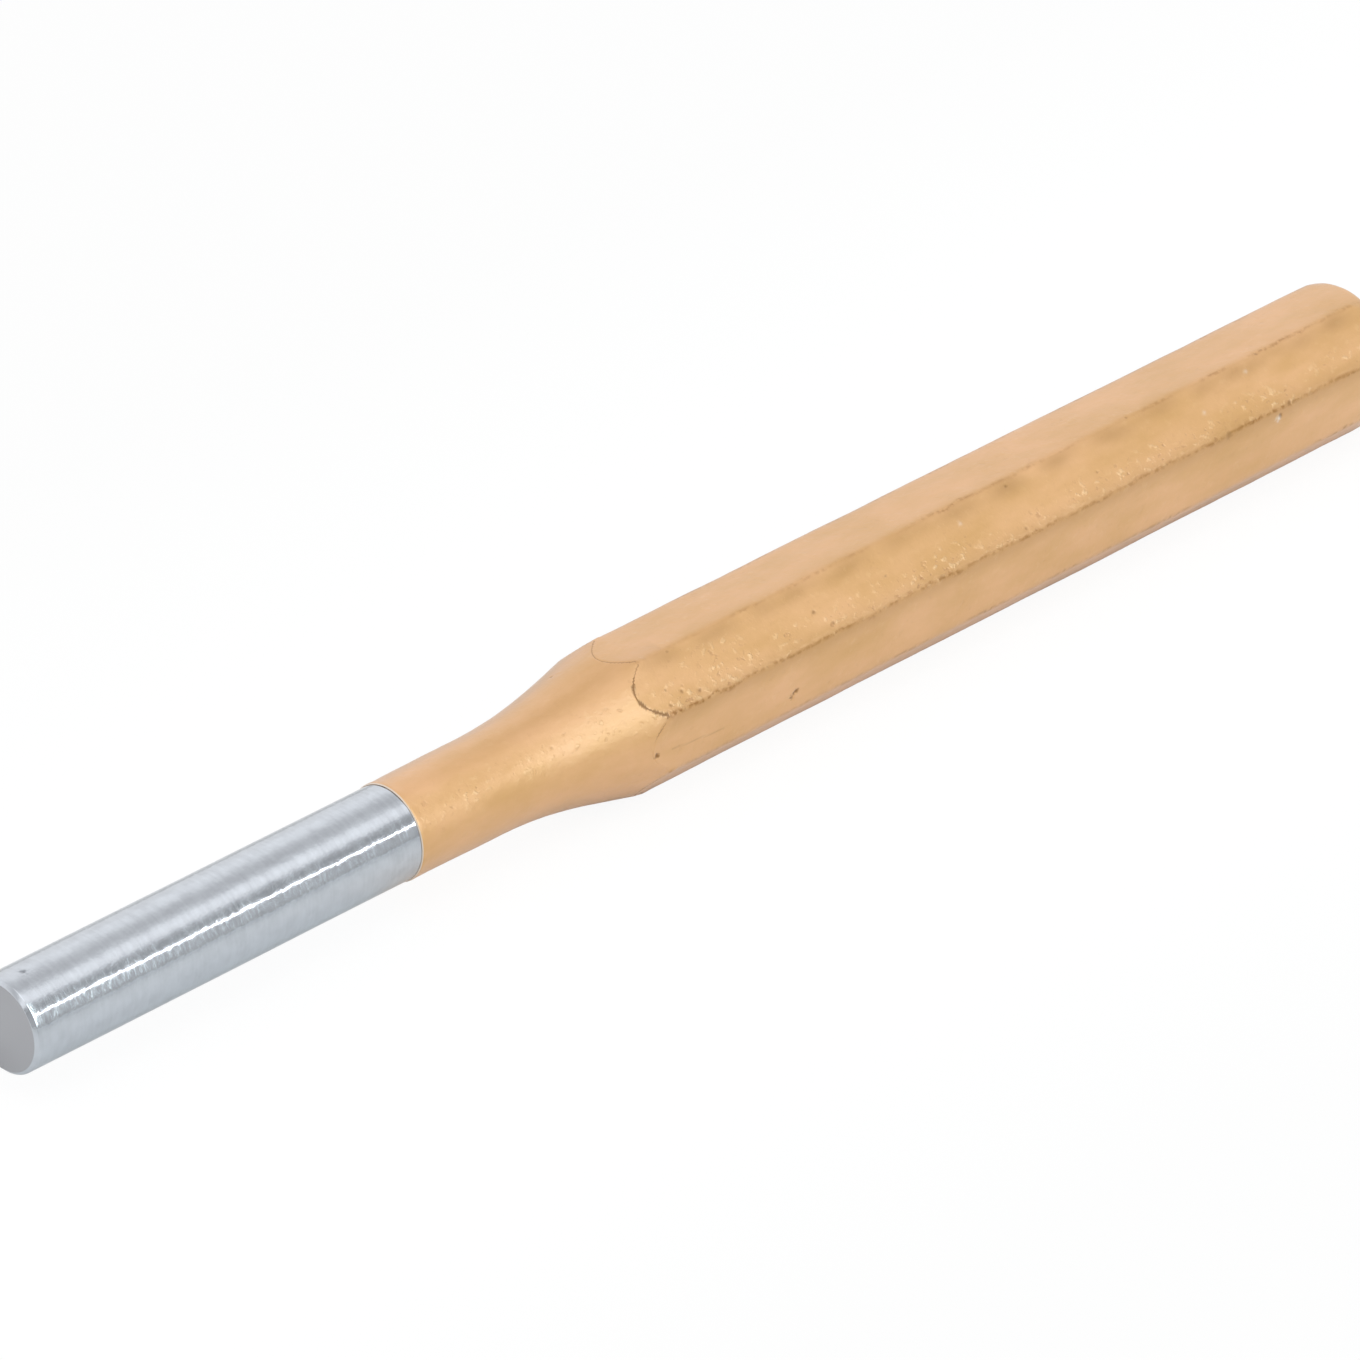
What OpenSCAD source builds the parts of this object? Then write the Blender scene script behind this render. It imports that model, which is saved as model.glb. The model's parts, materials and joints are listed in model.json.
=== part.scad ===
// Parallel pin punch: one octagonal steel bar, turned down to a round tip, with a lacquer skin.
// It lies on one flat of its shank along X, tip towards -X. All sizes are in millimetres.
// The bare steel is sized first. The lacquer follows it at an even thickness.

/* [Steel bar] */
// Length of the steel, from the tip face to the striking face
punch_len = 150; // [115:1:250]
// Octagonal bar across its flats
shank_af = 12; // [10:0.25:20]
// How far the bar's rolled corners are dulled, measured towards the axis
corner_dulling = 0.07; // [0:0.01:0.4]

/* [Tip] */
// Diameter of the ground tip, which is the size of pin it drives
tip_d = 8; // [3:0.1:9]
// Length of the ground tip, up to the edge of the lacquer
tip_len = 40.3; // [15:0.1:60]
// Chamfer round the tip face
tip_chamfer = 0.3; // [0.1:0.05:0.6]

/* [Shoulder] */
// Neck from the lacquer's edge to the start of the flare
neck_len = 9; // [2:0.5:20]
// How much the radius grows along the neck, where the grinding of the tip runs out
neck_rise = 0.05; // [0.01:0.01:0.2]
// Radius of the hollow blend where the neck starts to flare
blend_r = 50; // [10:1:80]
// Angle between the shoulder cone and the axis
shoulder_angle = 13; // [8:0.5:30]

/* [Striking end] */
// Diameter that the corners are turned down to at the striking face
head_d = 12; // [9:0.25:12.25]
// Angle between the turned corners and the axis
head_angle = 14; // [8:1:45]
// Radius of the edge round the striking face
head_edge_r = 0.5; // [0.2:0.1:1.5]

/* [Lacquer] */
// Thickness of the lacquer skin
coat_t = 0.08; // [0.03:0.01:0.3]

/* [Hidden] */
$fn = 96;
sides = 8;
steps = 6;
overrun = 1;

neck_r = tip_d / 2 + neck_rise;
flare_at = tip_len + neck_len;
corner_r = shank_af / 2 / cos(180 / sides) - corner_dulling;
overall_len = punch_len + coat_t;

// Where the round edge of the striking face has its centre: along the bar, and out from the axis
edge_at = punch_len - head_edge_r;
edge_out = head_d / 2 + head_edge_r * (tan(head_angle) - 1 / cos(head_angle));

// Half section of the turned bar, with x out from the axis and y from the tip face.
// skin is the thickness laid over the steel, and 0 for the steel itself.
module turned_section(skin) {
    tip = tip_d / 2 + skin;
    neck = neck_r + skin;
    hollow = blend_r - skin;
    cone_at = flare_at + hollow * sin(shoulder_angle);
    cone_out = neck + hollow * (1 - cos(shoulder_angle));
    full_out = corner_r + skin + overrun;
    full_at = cone_at + (full_out - cone_out) / tan(shoulder_angle);
    edge = head_edge_r + skin;
    taper_out = edge_out + edge * cos(head_angle);
    taper_end = edge_at + edge * sin(head_angle);
    taper_at = taper_end - (full_out - taper_out) / tan(head_angle);
    difference() {
        polygon(concat(
            [[0, 0], [tip - tip_chamfer, 0], [tip, tip_chamfer], [tip, tip_len], [neck, flare_at],
             [cone_out, flare_at], [cone_out, cone_at], [full_out, full_at], [full_out, taper_at]],
            [for (i = [0 : steps])
                let (a = (90 - head_angle) * (1 - i / steps))
                [edge_out + edge * sin(a), edge_at + edge * cos(a)]],
            [[0, punch_len + skin]]
        ));
        intersection() {
            translate([neck + hollow, flare_at]) circle(hollow);
            translate([neck, flare_at]) square([cone_out - neck, cone_at - flare_at]);
        }
    }
}

// The bar after forging and turning, standing on its tip face
module blank(skin) {
    intersection() {
        rotate_extrude() turned_section(skin);
        rotate(180 / sides)
            cylinder(r = (shank_af / 2 + skin) / cos(180 / sides), h = punch_len + skin, $fn = sides);
        cylinder(r = corner_r + skin, h = punch_len + skin);
    }
}

// Lays a standing punch on one flat, centred over the origin
module lie_down() {
    translate([-overall_len / 2, 0, shank_af / 2 + coat_t]) rotate([0, 90, 0]) children();
}

module steel_punch() {
    color("silver") lie_down() blank(0);
}

module lacquer_coat() {
    color("burlywood") lie_down() difference() {
        blank(coat_t);
        blank(0);
        translate([0, 0, -overrun]) cylinder(r = neck_r + coat_t + overrun, h = tip_len + overrun);
    }
}

steel_punch();
lacquer_coat();
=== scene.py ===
import json
import math

import bmesh
import bpy
from mathutils import Matrix, Vector, noise

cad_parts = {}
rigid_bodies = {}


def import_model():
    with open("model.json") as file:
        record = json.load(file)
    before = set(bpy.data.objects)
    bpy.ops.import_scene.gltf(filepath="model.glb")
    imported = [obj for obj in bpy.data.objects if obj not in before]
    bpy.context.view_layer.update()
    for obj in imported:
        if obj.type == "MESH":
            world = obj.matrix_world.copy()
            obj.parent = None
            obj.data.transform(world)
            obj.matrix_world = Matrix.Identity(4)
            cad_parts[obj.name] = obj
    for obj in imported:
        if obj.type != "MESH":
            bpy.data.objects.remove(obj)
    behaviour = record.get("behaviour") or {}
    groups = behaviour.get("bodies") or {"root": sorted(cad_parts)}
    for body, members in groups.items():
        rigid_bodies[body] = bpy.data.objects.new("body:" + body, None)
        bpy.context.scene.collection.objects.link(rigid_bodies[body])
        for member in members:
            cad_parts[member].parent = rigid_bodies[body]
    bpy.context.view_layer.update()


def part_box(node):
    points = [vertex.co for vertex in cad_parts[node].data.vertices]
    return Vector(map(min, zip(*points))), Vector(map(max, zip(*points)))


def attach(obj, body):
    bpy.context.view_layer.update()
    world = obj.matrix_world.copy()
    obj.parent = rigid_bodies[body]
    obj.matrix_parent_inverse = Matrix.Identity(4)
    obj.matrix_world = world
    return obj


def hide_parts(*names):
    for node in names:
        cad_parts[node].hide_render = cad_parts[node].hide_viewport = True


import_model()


# The steel bar: 12 mm octagon tool steel, rolled hot, turned down at one end to a cone, a hollow
# and a neck, hardened, and then ground bright round the tip, whose end has a small chamfer.
# The striking end is turned too, which takes the corners off. Lacquer hides all but the tip.
MM = 0.001
TIP_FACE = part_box("steel_punch")[0].x
BAR_AXIS = (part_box("steel_punch")[0].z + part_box("steel_punch")[1].z) / 2
BAR_LEN, BAR_FLAT, BAR_CORNER = 150, 5.95, 6.25
SHANK_AT = 65.25
TIP_R, TIP_LEN, TIP_CHAMFER = 4, 40.3, 0.3
NECK_R, FLARE_AT, BLEND_R, CONE = 4.05, 49.3, 50, math.radians(13)
HEAD_R, HEAD_EDGE, HEAD_TAPER = 6, 0.5, math.radians(14)
HOLLOW_STEPS, EDGE_STEPS = 12, 8
# A rolled flat keeps the share CROWN of the bar's roundness, and a round has RING sides.
FLATS, CROWN, RING = 8, 0.12, 192
# Places nearer than these, in metres, count as one: along the bar, and at a cut.
NEAR, HAIR = 1e-6, 1e-7


def along(distance):
    """Place on X of a distance in millimetres from the tip face."""
    return TIP_FACE + distance * MM


def outline(skin, flat, corner, fine):
    """Turned outline from the lacquer's edge to the striking face, over a skin of that thickness.
    Each row is a distance from the tip face, a radius, and the rings cut into the stretch before it."""
    neck, hollow, edge = NECK_R + skin, BLEND_R - skin, HEAD_EDGE + skin
    rows = [(TIP_LEN, TIP_R + skin, 0), (FLARE_AT, neck, 30 * fine)]
    for step in range(1, HOLLOW_STEPS + 1):
        a = CONE * step / HOLLOW_STEPS
        rows.append((FLARE_AT + hollow * math.sin(a), neck + hollow * (1 - math.cos(a)), 2 * fine))
    cone_at, cone_out = rows[-1][:2]
    rows.append((cone_at + (flat - 0.1 - cone_out) / math.tan(CONE), flat - 0.1, 10 * fine))
    rows.append((cone_at + (corner - cone_out) / math.tan(CONE), corner, 24 * fine))
    rows.append((rows[-1][0] + 1, corner, 7 * fine))
    edge_at = BAR_LEN - HEAD_EDGE
    edge_out = HEAD_R + HEAD_EDGE * (math.tan(HEAD_TAPER) - 1 / math.cos(HEAD_TAPER))
    taper_end = edge_at + edge * math.sin(HEAD_TAPER)
    taper_out = edge_out + edge * math.cos(HEAD_TAPER)
    taper_at = taper_end - (corner - taper_out) / math.tan(HEAD_TAPER)
    rows.append(((rows[-1][0] + taper_at) / 2, corner, 99 * fine))
    rows.append((taper_at, corner, 99 * fine))
    rows.append((taper_end, taper_out, 12 * fine))
    for step in range(1, EDGE_STEPS + 1):
        a = (math.pi / 2 - HEAD_TAPER) * (1 - step / EDGE_STEPS)
        rows.append((edge_at + edge * math.cos(a), edge_out + edge * math.sin(a), 0))
    return rows


def pick(piece, kind, test):
    """Selects the vertices, edges or faces that pass the test, in edit mode."""
    bpy.ops.mesh.select_mode(type=kind)
    bpy.ops.mesh.select_all(action="DESELECT")
    mesh = bmesh.from_edit_mesh(piece.data)
    for element in {"VERT": mesh.verts, "EDGE": mesh.edges, "FACE": mesh.faces}[kind]:
        if test(element):
            element.select_set(True)
    mesh.select_flush_mode()
    bmesh.update_edit_mesh(piece.data)


def turned(name, rows):
    """A turned form: a ring drawn out along the bar from row to row, then cut into finer rings.
    It stays open where it starts, and in edit mode."""
    bpy.ops.object.select_all(action="DESELECT")
    bpy.ops.mesh.primitive_circle_add(
        vertices=RING, radius=rows[0][1] * MM, location=(along(rows[0][0]), 0, BAR_AXIS),
        rotation=(0, math.pi / 2, 0))
    piece = bpy.context.object
    piece.name = piece.data.name = name
    bpy.ops.object.transform_apply(location=True, rotation=True, scale=True)
    bpy.ops.object.mode_set(mode="EDIT")
    bpy.ops.mesh.select_all(action="SELECT")
    for (x0, r0, _), (x1, r1, _) in zip(rows, rows[1:]):
        bpy.ops.mesh.extrude_region_move(TRANSFORM_OT_translate={"value": ((x1 - x0) * MM, 0, 0)})
        bpy.ops.transform.resize(value=(1, r1 / r0, r1 / r0), center_override=(along(x1), 0, BAR_AXIS))
    bpy.ops.mesh.edge_face_add()
    for (x0, _, _), (x1, _, cuts) in zip(rows, rows[1:]):
        if cuts:
            low, high = along(x0) - NEAR, along(x1) + NEAR
            pick(piece, "EDGE", lambda e: abs(e.verts[0].co.x - e.verts[1].co.x) > NEAR
                 and all(low < v.co.x < high for v in e.verts))
            bpy.ops.mesh.subdivide(number_cuts=cuts)
    return piece


def turn_over(angle):
    """Turns the whole piece in edit mode about the bar's axis."""
    bpy.ops.mesh.select_all(action="SELECT")
    bpy.ops.transform.rotate(value=angle, orient_axis="X", center_override=(0, 0, BAR_AXIS))


def roll_flats(piece, flat, corner):
    """Presses the round bar down to eight flats with a slight crown, at that distance from its axis.
    A seam marks where a flat's edge runs out over the cone of the shoulder."""
    level = BAR_AXIS + (flat - CROWN * corner) / (1 - CROWN) * MM
    for side in range(FLATS):
        bpy.ops.mesh.select_all(action="SELECT")
        bpy.ops.mesh.bisect(plane_co=(0, 0, level), plane_no=(0, 0, 1), threshold=HAIR)
        pick(piece, "EDGE", lambda e: all(
            abs(v.co.z - level) < 2 * HAIR and v.co.x < along(SHANK_AT) for v in e.verts))
        bpy.ops.mesh.mark_seam()
        pick(piece, "VERT", lambda v: v.co.z > level + 2 * HAIR)
        bpy.ops.transform.resize(value=(1, 1, CROWN), center_override=(0, 0, level))
        turn_over(2 * math.pi / FLATS)
    bpy.ops.mesh.select_all(action="SELECT")
    bpy.ops.mesh.remove_doubles(threshold=0.03 * MM)


def angle_of(v):
    """Angle of a vertex about the bar's axis in degrees: 90 on top, 180 in front."""
    return math.degrees(math.atan2(v.co.z - BAR_AXIS, v.co.y)) % 360


def distance_of(v):
    """Distance of a vertex from the tip face in millimetres."""
    return (v.co.x - TIP_FACE) / MM


def uneven(v, size):
    """Soft noise about 0, with lumps of that many millimetres."""
    return noise.noise(v.co / (size * MM))


def rise(value, low, high):
    """Grows evenly from 0 at low to 1 at high."""
    return max(0, min(1, (value - low) / (high - low)))


def hump(value, middle, width, power=2):
    """A soft hump, 1 in the middle. It falls off over the width, with a flatter top for more power."""
    return math.exp(-((value - middle) / width) ** power)


def mark(piece, name, amount):
    """Keeps a number with each vertex: amount(vertex), or what is there if that is more."""
    mesh = bmesh.from_edit_mesh(piece.data)
    layer = mesh.verts.layers.float.get(name) or mesh.verts.layers.float.new(name)
    for v in mesh.verts:
        v[layer] = max(v[layer], amount(v))
    bmesh.update_edit_mesh(piece.data)


# A pit this deep, in millimetres, is painted fully dark, as soil and painted shade.
FULL_DARK_DEPTH = 0.07


def dent(piece, distance, angle, width, depth):
    """Pushes a small pit into the surface at a distance from the tip face and an angle about the
    axis, 90 being the top. The faces there are cut finer first, and the pit is painted dark as soil
    and painted shade. A negative depth raises a burr instead, with a painted highlight on it."""
    a = math.radians(angle)
    ray = Vector((0, math.cos(a), math.sin(a)))
    middle = Vector((along(distance), 0, BAR_AXIS))
    mesh = bmesh.from_edit_mesh(piece.data)
    centre = max(mesh.verts, key=lambda v: (v.co - middle).normalized() @ ray * (v.co - middle).length
                 - 4 * ((v.co - middle) - (v.co - middle).project(ray)).length).co.copy()
    pick(piece, "FACE", lambda f: (f.calc_center_median() - centre).length < 1.8 * width * MM)
    bpy.ops.mesh.subdivide(number_cuts=2)
    mesh = bmesh.from_edit_mesh(piece.data)
    near = min((v.co - centre).length for v in mesh.verts)
    pick(piece, "VERT", lambda v: (v.co - centre).length <= near + HAIR)
    bpy.ops.transform.translate(value=-depth * MM * ray, use_proportional_edit=True,
                                proportional_edit_falloff="SMOOTH", proportional_size=width * MM)
    mark(piece, "grime_and_shade" if depth > 0 else "edge", lambda v: abs(depth) / FULL_DARK_DEPTH * hump(
        (v.co - centre).length * (1 + 0.6 * uneven(v, 0.2)), 0, 0.6 * width * MM))


def ripple(piece, size, depth, stretch):
    """Lets the surface swell and sink by a soft noise, drawn out along the bar."""
    texture = bpy.data.textures.new("ripple", "CLOUDS")
    texture.noise_scale = size * MM
    texture.noise_depth = 1
    bpy.ops.object.empty_add()
    guide = bpy.context.object
    guide.scale = (stretch, 1, 1)
    bpy.context.view_layer.update()
    bpy.ops.object.select_all(action="DESELECT")
    bpy.context.view_layer.objects.active = piece
    piece.select_set(True)
    swell = piece.modifiers.new("ripple", "DISPLACE")
    swell.texture, swell.texture_coords, swell.texture_coords_object = texture, "OBJECT", guide
    swell.strength, swell.mid_level = depth * MM, 0.4
    bpy.ops.object.modifier_apply(modifier=swell.name)
    bpy.data.objects.remove(guide)


tip_rows = [(0, TIP_R - TIP_CHAMFER, 0), (TIP_CHAMFER, TIP_R, 0), (TIP_LEN, TIP_R, 79)]
steel = turned("steel_bar", tip_rows + outline(0, BAR_FLAT, BAR_CORNER, 0)[1:])
pick(steel, "VERT", lambda v: abs(v.co.x - along(0)) < NEAR)
bpy.ops.mesh.edge_face_add()
roll_flats(steel, BAR_FLAT, BAR_CORNER)
bpy.ops.mesh.normals_make_consistent(inside=False)
pick(steel, "EDGE", lambda e: all(v.co.x < along(TIP_CHAMFER) + NEAR for v in e.verts)
     and abs(e.verts[0].co.x - e.verts[1].co.x) < NEAR)
bpy.ops.mesh.bevel(offset=0.06 * MM, segments=3, affect="EDGES")
# A nick near the tip, painted dark inside as soil and painted shade.
dent(steel, 2.24, 92, 0.4, 0.06)
mark(steel, "face", lambda v: v.co.x < along(0.02))
mark(steel, "stoned", lambda v: rise(distance_of(v), 36, 38))
bpy.ops.object.mode_set(mode="OBJECT")
ripple(steel, 5, 0.05, 4)
bpy.ops.object.shade_smooth_by_angle(angle=math.radians(30))


def linear(code):
    """Linear colour of an sRGB hex code."""
    parts = [int(code[i:i + 2], 16) / 255 for i in (1, 3, 5)]
    return [c / 12.92 if c <= 0.04045 else ((c + 0.055) / 1.055) ** 2.4 for c in parts] + [1]


def add(tree, kind, settings=None, links=None):
    """Adds a node, sets its properties and sockets by name or number, and links its sockets."""
    node = tree.nodes.new("ShaderNode" + kind)
    for key, value in (settings or {}).items():
        if isinstance(key, str) and hasattr(node, key):
            setattr(node, key, value)
        else:
            node.inputs[key].default_value = value
    for key, source in (links or {}).items():
        tree.links.new(source, node.inputs[key])
    return node


def new_material(name):
    """An empty procedural material and its node tree."""
    material = bpy.data.materials.new(name)
    material.use_nodes = True
    material.node_tree.nodes.clear()
    return material, material.node_tree


# Hardened tool steel, ground bright between centres: fine marks run round it, the wheel has left
# shallow waves and chatter, and just before the lacquer the marks are stronger. The tip face is
# duller. The marks are really finer, and are drawn a quarter of a millimetre apart to show.
ground_steel, tree = new_material("ground_tool_steel")
here = {"Vector": add(tree, "TexCoord").outputs["Object"]}
tangent = add(tree, "Tangent", {"direction_type": "RADIAL", "axis": "X"})
rings = add(tree, "Mapping", {"Scale": (1 / (0.25 * MM), 1 / (4 * MM), 1 / (4 * MM))}, here)
marks = add(tree, "TexNoise", {"Scale": 1.0, "Detail": 3.0}, {"Vector": rings.outputs[0]})
waves = add(tree, "TexNoise", {"Scale": 1 / (1.2 * MM), "Detail": 3.0, "Roughness": 0.55}, here)
steps = add(tree, "Mapping", {"Scale": (1 / (0.4 * MM), 1 / (0.9 * MM), 1 / (0.9 * MM))}, here)
chatter = add(tree, "TexNoise", {"Scale": 1.0, "Detail": 3.0, "Roughness": 0.6},
              {"Vector": steps.outputs[0]})
stoned = add(tree, "Attribute", {"attribute_name": "stoned"})
grime_and_shade = add(tree, "Attribute", {"attribute_name": "grime_and_shade"})
contrast = add(tree, "MapRange", {1: 0.0, 2: 1.0, 3: 0.7, 4: 1.0}, {0: stoned.outputs["Fac"]})
mottle = add(tree, "Math", {"operation": "MULTIPLY_ADD", 1: 0.5},
             {0: marks.outputs[0], 2: waves.outputs[0]})
streak = add(tree, "MapRange", {1: 0.6, 2: 1.0, 3: 0.0, 4: 1.0}, {0: mottle.outputs[0]})
streak = add(tree, "Math", {"operation": "MULTIPLY"}, {0: streak.outputs[0], 1: contrast.outputs[0]})
shade = add(tree, "Mix", {"data_type": "RGBA", 6: linear("#C6CBD2"), 7: linear("#B7BBC2")},
            {0: streak.outputs[0]})
# The nick is painted dark, as soil and painted shade.
shade = add(tree, "Mix", {"data_type": "RGBA", 7: linear("#6A6E74")},
            {0: grime_and_shade.outputs["Fac"], 6: shade.outputs[2]})
face = add(tree, "Attribute", {"attribute_name": "face"})
shade = add(tree, "Mix", {"data_type": "RGBA", 7: linear("#A9A9AD")},
            {0: face.outputs["Fac"], 6: shade.outputs[2]})
gloss = add(tree, "MapRange", {1: 0.3, 2: 0.7, 3: 0.1, 4: 0.2}, {0: chatter.outputs[0]})
coarse = add(tree, "Bump", {"Strength": 1.0, "Distance": 0.026 * MM}, {"Height": waves.outputs[0]})
middle = add(tree, "Bump", {"Strength": 1.0, "Distance": 0.014 * MM},
             {"Height": chatter.outputs[0], "Normal": coarse.outputs[0]})
fine = add(tree, "Bump", {"Strength": 0.3, "Distance": 0.001 * MM},
           {"Height": marks.outputs[0], "Normal": middle.outputs[0]})
shader = add(
    tree, "BsdfPrincipled", {"Metallic": 1.0, "Anisotropic": 0.5, "Anisotropic Rotation": 0.25},
    {"Tangent": tangent.outputs[0], "Base Color": shade.outputs[2], "Roughness": gloss.outputs[0],
     "Normal": fine.outputs[0]})
add(tree, "OutputMaterial", {}, {"Surface": shader.outputs[0]})
steel.data.materials.append(ground_steel)
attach(steel, "root")
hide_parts("steel_punch")


# The lacquer: a baked skin of copper-gold metallic lacquer over the whole bar but the tip.
# It was sprayed on with the tip masked, so its edge is a step with a slight bead, a little askew.
# It rounds the corners of the octagon and shows the rough rolled steel below.
COAT, SKIN_FLAT, SKIN_CORNER = 0.08, 6.125, 6.6
BEAD = [(TIP_LEN, TIP_R + 0.03, 0), (TIP_LEN + 0.03, TIP_R + 0.07, 0), (TIP_LEN + 0.1, TIP_R + 0.1, 0),
        (TIP_LEN + 0.3, TIP_R + 0.11, 0), (TIP_LEN + 0.7, TIP_R + COAT, 0)]
EDGE_TILT, EDGE_TURN = math.radians(-1.5), math.radians(-39)
GROOVE = 0.04
lacquer = turned("lacquer_skin", BEAD + outline(COAT, SKIN_FLAT, SKIN_CORNER, 1)[1:])
roll_flats(lacquer, SKIN_FLAT, SKIN_CORNER)
bpy.ops.mesh.normals_make_consistent(inside=False)
pick(lacquer, "VERT", lambda v: v.co.x > along(66))
bpy.ops.mesh.vertices_smooth(factor=0.5, repeat=14)
pick(lacquer, "VERT", lambda v: v.co.x > along(TIP_LEN + 1))
bpy.ops.mesh.vertices_smooth(factor=0.5, repeat=1)
bpy.ops.object.mode_set(mode="OBJECT")
ripple(lacquer, 4, 0.12, 2.5)
ripple(lacquer, 0.9, 0.03, 1.3)

# The crease round each scallop of the shoulder is a fine groove, painted dark as soil and painted
# shade, most on the upper front flat and least low on the front one; beside it on the upper front flat
# lies a softer painted shade.
bpy.ops.object.mode_set(mode="EDIT")
pick(lacquer, "EDGE", lambda e: e.seam)
mark(lacquer, "grime_and_shade", lambda v: v.select * (
    1.1 if 120 < angle_of(v) < 158 else 0.6 if angle_of(v) < 158 else 0.1 if 186 < angle_of(v) < 203
    else 0.4 + 1.2 * uneven(v, 1.1)))
bpy.ops.mesh.select_mode(type="VERT")
bpy.ops.transform.shrink_fatten(value=-GROOVE * MM)
bpy.ops.mesh.select_more()
mark(lacquer, "grime_and_shade", lambda v: v.select * (124 < angle_of(v) < 158) * (0.5 + 0.4 * uneven(v, 0.8)))

# Dirt also clings in a wavering line along the corners, and beside them and above the flare the gold
# carries a painted shade. A rolling lap runs as a fine slanting line from the shoulder, painted dark as
# soil and painted shade.
mark(lacquer, "corner", lambda v: (distance_of(v) > 65)
     * (0.32 + uneven(v, 4) + 0.45 * (140 < angle_of(v) < 180))
     * hump((angle_of(v) + 2 * uneven(v, 2) + uneven(v, 0.6)) % 45, 22.5, 1.3))
mark(lacquer, "painted_shade", lambda v: rise(distance_of(v), 64, 66) * (
    (0.8 + 1.1 * uneven(v, 3)) * hump(angle_of(v), 118, 7) if 112 < angle_of(v) < 140
    else hump(angle_of(v), 158.5, 8) if 140 < angle_of(v) < 180
    else 0.15 * hump(angle_of(v) % 45, 22.5, 8)))
mark(lacquer, "painted_shade", lambda v: 0.5 * (distance_of(v) < 68) * rise(distance_of(v), 47, 55)
     * hump(angle_of(v), 108, 12))
mark(lacquer, "grime_and_shade", lambda v: 0.37 * (65.3 < distance_of(v) < 71.5)
     * hump(angle_of(v) - 0.8 * (distance_of(v) - 65.3), 184, 1.7))

# The rolls left the upper front flat rough, most towards its lower corner and beside the shoulder; on
# the neck a band along its highlight is rough too, and the knobs of this roughness carry painted
# highlights. The masked edge is a clean cut, with a pale painted highlight along it.
mark(lacquer, "rough", lambda v: max(
    0.2, hump(angle_of(v), 148, 11, 4),
    hump(angle_of(v), 138, 20, 4) * math.exp(-max(0, distance_of(v) - 72) / 4))
     if distance_of(v) > 63.5 else 0.15 + 0.8 * hump(angle_of(v), 142, 13))
mark(lacquer, "edge", lambda v: v.co.x < along(TIP_LEN + 0.05))

# Pits and chips from the rolling, painted dark as soil and painted shade, and burrs with a painted
# highlight, where they lie on the real one: distance, angle, width and depth.
PITS = (
    (79.2, 187, 0.35, 0.08), (79, 189.5, 0.35, 0.06), (78.8, 192, 0.35, 0.08),
    (135.8, 163.5, 0.4, 0.06), (63.8, 183, 0.35, 0.08), (67.4, 145, 0.35, 0.05),
    (69.2, 150, 0.35, 0.055), (68.5, 114.4, 0.3, 0.035), (106.3, 117.6, 0.3, 0.05),
    (106.1, 152, 0.35, 0.04), (84, 151, 0.3, 0.045), (83, 136, 0.35, 0.05),
    (137.1, 157.3, 0.4, 0.05), (129.7, 158.4, 0.8, 0.035), (115.5, 138, 0.3, 0.04),
    (91.2, 137.6, 0.3, 0.035), (55, 138.4, 0.3, 0.03), (56.7, 152.8, 0.35, 0.02),
    (66.2, 139, 0.25, 0.035), (65.9, 150, 0.3, 0.04), (71.5, 146, 0.25, 0.035),
    (60.1, 66.8, 0.3, 0.04), (121.2, 112, 0.3, 0.04), (136.4, 114, 0.3, 0.04),
)
BURRS = (
    (135.5, 164.6, 0.35, -0.06), (100.5, 127.6, 0.3, -0.025), (134.7, 122, 0.3, -0.025),
    (128.5, 134.5, 0.3, -0.025),
)
for spot in PITS + BURRS:
    dent(lacquer, *spot)

# The inside wall lies on the steel, and meets the outside round the masked edge. Then the edge is
# tilted a little.
bpy.ops.object.mode_set(mode="OBJECT")
inside = turned("lacquer_inside", outline(0, BAR_FLAT, BAR_CORNER, 0))
roll_flats(inside, BAR_FLAT, BAR_CORNER)
bpy.ops.mesh.normals_make_consistent(inside=True)
bpy.ops.object.mode_set(mode="OBJECT")
lacquer.select_set(True)
bpy.context.view_layer.objects.active = lacquer
bpy.ops.object.join()
bpy.ops.object.mode_set(mode="EDIT")
bpy.ops.mesh.select_mode(type="EDGE")
bpy.ops.mesh.select_all(action="DESELECT")
bpy.ops.mesh.select_non_manifold(extend=False, use_wire=False, use_boundary=True, use_multi_face=False,
                                 use_non_contiguous=False, use_verts=False)
bpy.ops.mesh.bridge_edge_loops()
turn_over(EDGE_TURN)
pick(lacquer, "VERT", lambda v: v.co.x < along(TIP_LEN + 0.05))
bpy.ops.transform.rotate(
    value=EDGE_TILT, orient_axis="Y", center_override=(along(TIP_LEN), 0, BAR_AXIS),
    use_proportional_edit=True, proportional_edit_falloff="SMOOTH", proportional_size=2 * MM)
turn_over(-EDGE_TURN)
bpy.ops.object.mode_set(mode="OBJECT")
bpy.ops.object.shade_smooth_by_angle(angle=math.radians(60))

# Baked lacquer with copper-gold flake under a clear top: faint clouds of redder and yellower gold,
# an orange peel, and over the rolled flats the grain and pits of the scale, with painted highlights
# on its knobs and painted shade in its pits. Soil and painted shade in the creases and pits are brown
# and hide the clear top, and so does the soil along the corners.
gold, tree = new_material("baked_gold_lacquer")
here = {"Vector": add(tree, "TexCoord").outputs["Object"]}
drawn = add(tree, "Mapping", {"Scale": (0.4, 1, 1)}, here)
clouds = add(tree, "TexNoise", {"Scale": 1 / (4 * MM), "Detail": 4.0, "Roughness": 0.6},
             {"Vector": drawn.outputs[0]})
peel = add(tree, "TexNoise", {"Scale": 1 / (0.45 * MM), "Detail": 2.0}, here)
askew = add(tree, "Mapping", {"Rotation": (0.5, 0.7, 0.4), "Scale": (0.8, 1, 1)}, here)
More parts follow.
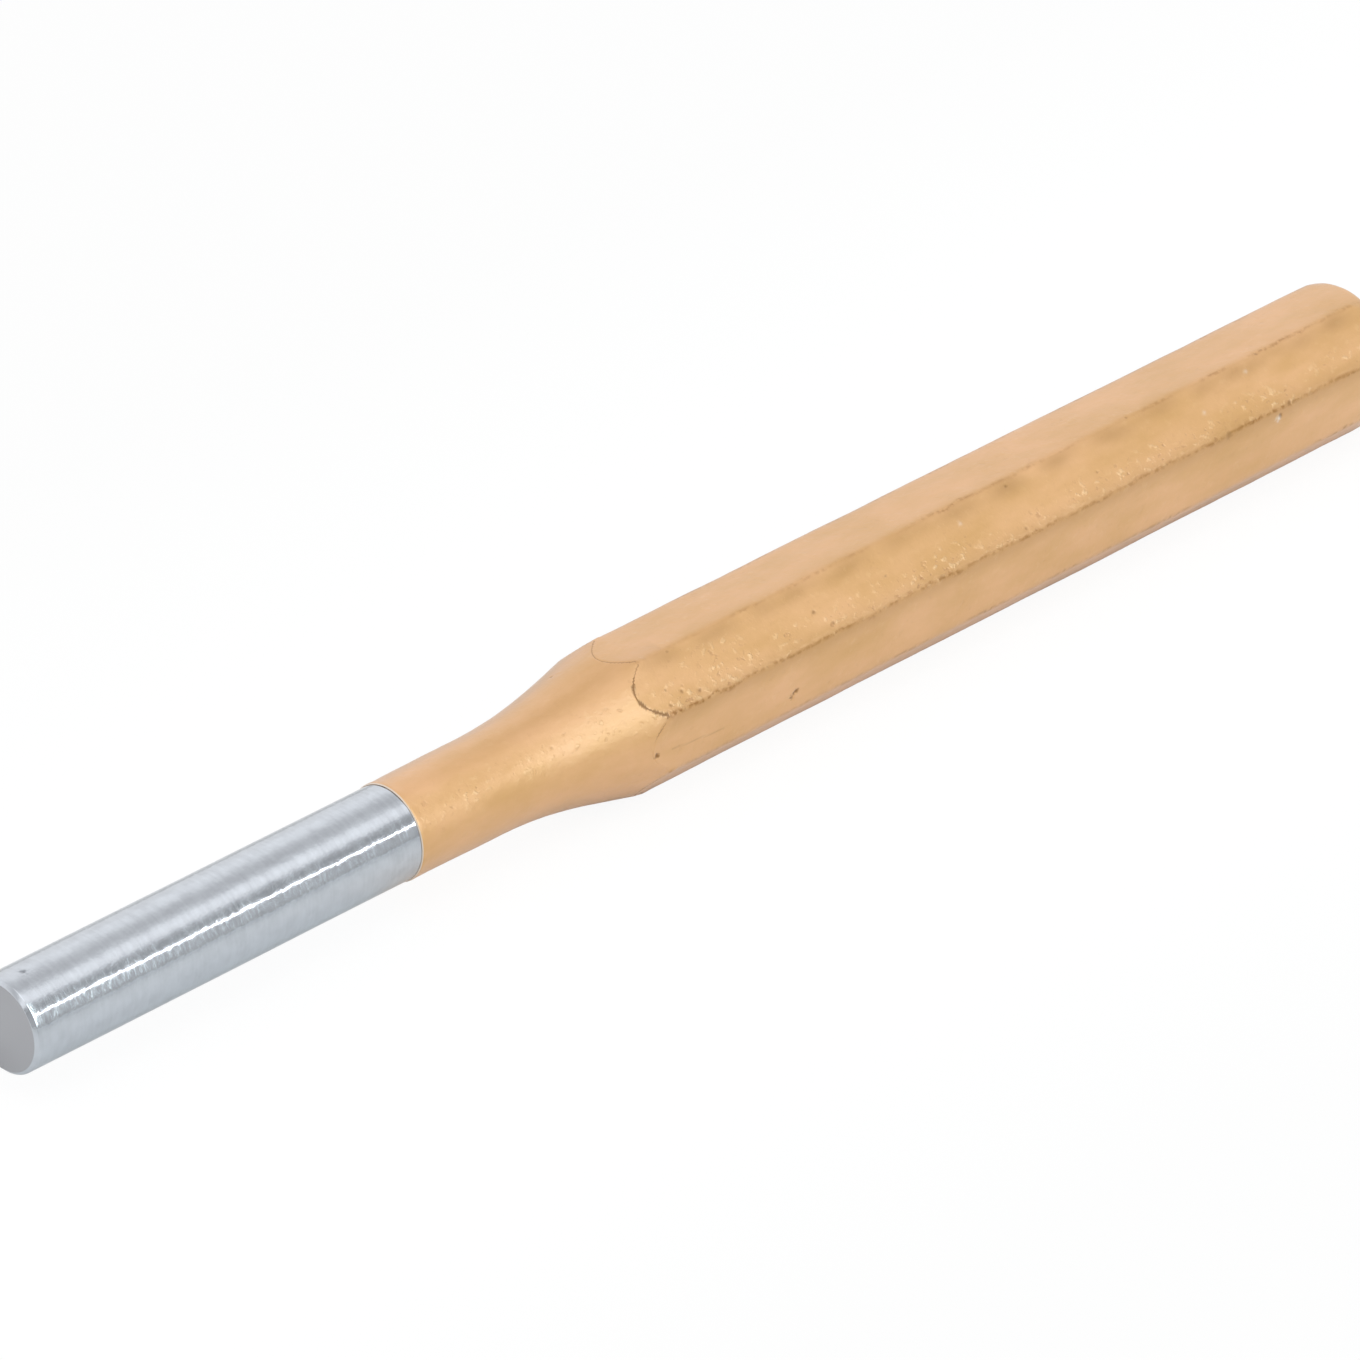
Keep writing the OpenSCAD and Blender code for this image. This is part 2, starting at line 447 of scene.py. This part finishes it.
grain = add(tree, "TexNoise", {"Scale": 1 / (0.55 * MM), "Detail": 2.0, "Roughness": 0.5},
            {"Vector": askew.outputs[0]})
patch = add(tree, "TexNoise", {"Scale": 1 / (2.5 * MM), "Detail": 2.0}, {"Vector": askew.outputs[0]})
patch = add(tree, "MapRange", {1: 0.35, 2: 0.6, 3: 0.15, 4: 1.0}, {0: patch.outputs[0]})
grime_and_shade, corner, rough, edge, painted_shade = [
    add(tree, "Attribute", {"attribute_name": name}).outputs["Fac"]
    for name in ("grime_and_shade", "corner", "rough", "edge", "painted_shade")]
cloud = add(tree, "MapRange", {1: 0.32, 2: 0.68}, {0: clouds.outputs[0]})
colour = add(tree, "Mix", {"data_type": "RGBA", 6: linear("#C89550"), 7: linear("#D9A56F")},
             {0: cloud.outputs[0]})
rough = add(tree, "Math", {"operation": "MULTIPLY"}, {0: patch.outputs[0], 1: rough}).outputs[0]
knob_and_glint = add(tree, "MapRange", {1: 0.58, 2: 0.7}, {0: grain.outputs[0]})
knob_and_glint = add(tree, "Math", {"operation": "MULTIPLY"}, {0: knob_and_glint.outputs[0], 1: rough}).outputs[0]
pit = add(tree, "MapRange", {1: 0.38, 2: 0.26}, {0: grain.outputs[0]})
pit = add(tree, "Math", {"operation": "MULTIPLY"}, {0: pit.outputs[0], 1: rough}).outputs[0]
line = add(tree, "MapRange", {1: 0.4, 2: 0.6, 3: 0.1, 4: 1.0}, {0: peel.outputs[0]})
line = add(tree, "Math", {"operation": "MULTIPLY"}, {0: line.outputs[0], 1: corner}).outputs[0]
dirt_and_shade = add(tree, "MapRange", {1: 0.2, 2: 0.75}, {0: grime_and_shade}).outputs[0]
# Each tint, at most its share: painted shade beside the corners and above the flare, painted highlights
# on the grain's knobs, painted shade in its pits, the soil along the corners, soil and painted shade in
# creases, pits and the lap, and a painted highlight on the masked edge and the burrs.
for share, most, tint in ((painted_shade, 0.5, "#A9782E"), (knob_and_glint, 0.4, "#EECB98"), (pit, 0.6, "#A0661C"),
                          (line, 0.65, "#84520E"), (dirt_and_shade, 0.85, "#7C5010"), (edge, 0.8, "#E6DED4")):
    share = add(tree, "Math", {"operation": "MULTIPLY", 1: most}, {0: share})
    colour = add(tree, "Mix", {"data_type": "RGBA", 7: linear(tint)},
                 {0: share.outputs[0], 6: colour.outputs[2]})
metal = add(tree, "MapRange", {1: 0.0, 2: 1.0, 3: 0.3, 4: 0.1}, {0: dirt_and_shade})
clear = add(tree, "Math", {"operation": "MAXIMUM"}, {0: dirt_and_shade, 1: line})
clear = add(tree, "MapRange", {1: 0.0, 2: 1.0, 3: 1.0, 4: 0.35}, {0: clear.outputs[0]})
gloss = add(tree, "MapRange", {1: 0.0, 2: 1.0, 3: 0.4, 4: 0.5}, {0: cloud.outputs[0]})
skin = add(tree, "Bump", {"Strength": 1.0, "Distance": 0.018 * MM}, {"Height": peel.outputs[0]})
relief = add(tree, "Math", {"operation": "SUBTRACT"}, {0: knob_and_glint, 1: pit})
relief = add(tree, "Math", {"operation": "MULTIPLY_ADD"},
             {0: grain.outputs[0], 1: rough, 2: relief.outputs[0]})
scale = add(tree, "Bump", {"Strength": 1.0, "Distance": 0.035 * MM},
            {"Height": relief.outputs[0], "Normal": skin.outputs[0]})
shader = add(
    tree, "BsdfPrincipled",
    {"Coat Roughness": 0.38, "Coat IOR": 1.7, "Sheen Weight": 0.1, "Sheen Tint": linear("#C8D0FF"),
     "Specular IOR Level": 0.25},
    {"Base Color": colour.outputs[2], "Metallic": metal.outputs[0], "Roughness": gloss.outputs[0],
     "Coat Weight": clear.outputs[0], "Normal": scale.outputs[0], "Coat Normal": scale.outputs[0]})
add(tree, "OutputMaterial", {}, {"Surface": shader.outputs[0]})
lacquer.data.materials.clear()
lacquer.data.materials.append(gold)
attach(lacquer, "root")
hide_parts("lacquer_coat")


# The studio: a white paper floor in a room of soft white panels that run along the punch, three
# soft boxes, and a long lens from 30 degrees up, as in the photograph. The camera alone sees the
# paper and the room pure white: the steel mirrors the panels, and so has its bands.


def grey(level):
    """A neutral linear colour of that brightness."""
    return (level, level, level, 1)


bpy.ops.object.select_all(action="DESELECT")
bpy.ops.mesh.primitive_plane_add(size=6, location=(0, 0, 0))
floor = bpy.context.object
floor.name = "floor"
bpy.ops.object.transform_apply(location=True, rotation=True, scale=True)
paper, tree = new_material("white_paper")
here = {"Vector": add(tree, "TexCoord").outputs["Object"]}
across = add(tree, "SeparateXYZ", {}, here)
front = add(tree, "Math", {"operation": "ABSOLUTE"}, {0: across.outputs["Y"]})
# The paper is painted darker away from under the punch: a painted shade that the steel mirrors, while
# the camera still sees the paper nearly white.
tone = add(tree, "MapRange", {1: 0.01, 2: 0.07, 3: 0.84, 4: 0.59}, {0: front.outputs[0]})
matt = add(tree, "BsdfPrincipled", {"Roughness": 0.9}, {"Base Color": tone.outputs[0]})
glow = add(tree, "Emission", {"Strength": 1.02})
ray = add(tree, "LightPath")
share = add(tree, "Math", {"operation": "MULTIPLY", 1: 0.9}, {0: ray.outputs["Is Camera Ray"]})
mix = add(tree, "MixShader", {}, {0: share.outputs[0], 1: matt.outputs[0], 2: glow.outputs[0]})
add(tree, "OutputMaterial", {}, {"Surface": mix.outputs[0]})
floor.data.materials.append(paper)

# How bright the room is by the angle round the punch, in degrees: 0 is level in front, 90 overhead
# and 180 level behind.
IN_FRONT, BEHIND = 0.56, 1.0
PANELS = ((10, 0.62), (18, 0.62), (43, 0.48), (52, 0.66), (61, 1.2), (70, 1.34), (79, 1.26),
          (88, 0.92), (98, 0.77), (108, 0.78), (119, 0.92), (131, 1.13), (145, 1.2), (160, 1.08))
world = bpy.data.worlds.new("studio")
bpy.context.scene.world = world
world.use_nodes = True
tree = world.node_tree
tree.nodes.clear()
direction = add(tree, "TexCoord")
parts = add(tree, "SeparateXYZ", {}, {"Vector": direction.outputs["Generated"]})
front = add(tree, "Math", {"operation": "MULTIPLY", 1: -1}, {0: parts.outputs["Y"]})
turn_up = add(tree, "Math", {"operation": "ARCTAN2"}, {0: parts.outputs["Z"], 1: front.outputs[0]})
share = add(tree, "Math", {"operation": "DIVIDE", 1: math.pi}, {0: turn_up.outputs[0]})
panels = add(tree, "ValToRGB", {}, {"Fac": share.outputs[0]})
ramp = panels.color_ramp
ramp.elements[0].color, ramp.elements[1].color = grey(IN_FRONT), grey(BEHIND)
for angle, level in PANELS:
    ramp.elements.new(angle / 180).color = grey(level)
ray = add(tree, "LightPath")
seen = add(tree, "Mix", {"data_type": "RGBA", 7: grey(1)},
           {0: ray.outputs["Is Camera Ray"], 6: panels.outputs["Color"]})
sky = add(tree, "Background", {"Strength": 1.0}, {"Color": seen.outputs[2]})
add(tree, "OutputWorld", {}, {"Surface": sky.outputs[0]})


def lamp(name, size, place, aim, power, colour=(1, 1, 1)):
    """A soft box of the given size, aimed at a point. Places are in metres."""
    bpy.ops.object.light_add(type="AREA", location=place)
    light = bpy.context.object
    light.name = name
    light.rotation_euler = (Vector(aim) - Vector(place)).to_track_quat("-Z", "Y").to_euler()
    light.data.shape = "RECTANGLE"
    light.data.size, light.data.size_y = size
    light.data.energy, light.data.color = power, colour
    light.visible_camera = False


# The key is a touch green and blue, which gives the highlight on the gold its real colour.
lamp("strip_light", (0.5, 0.018), (0.33, -0.42, 0.243), (0.33, 0, 0), 0.235)
lamp("key_box", (0.3, 0.7), (0.148, -0.63, 0.41), (-0.012, 0, 0.006), 2.3, (0.87, 1.0, 1.0))
lamp("top_box", (0.5, 0.5), (0, -0.1, 0.8), (0, 0, 0), 0.3)

# The place, the lens and the three axes of the camera come from the fit of the photograph.
bpy.ops.object.camera_add()
camera = bpy.context.object
camera.name = "camera"
camera.data.sensor_width = 36
camera.data.lens = 324.19
right, up, back = ((0.70911635, -0.70504659, -0.00795662), (0.3570486, 0.34933315, 0.86630401),
                   (-0.60800518, -0.61715124, 0.49945375))
camera.matrix_world = (Matrix.Translation((-0.59249, -0.59870, 0.49110))
                       @ Matrix((right, up, back)).transposed().to_4x4())
camera.data.clip_start, camera.data.clip_end = 0.01, 20
bpy.context.scene.camera = camera

bpy.context.scene.view_settings.view_transform = "Standard"
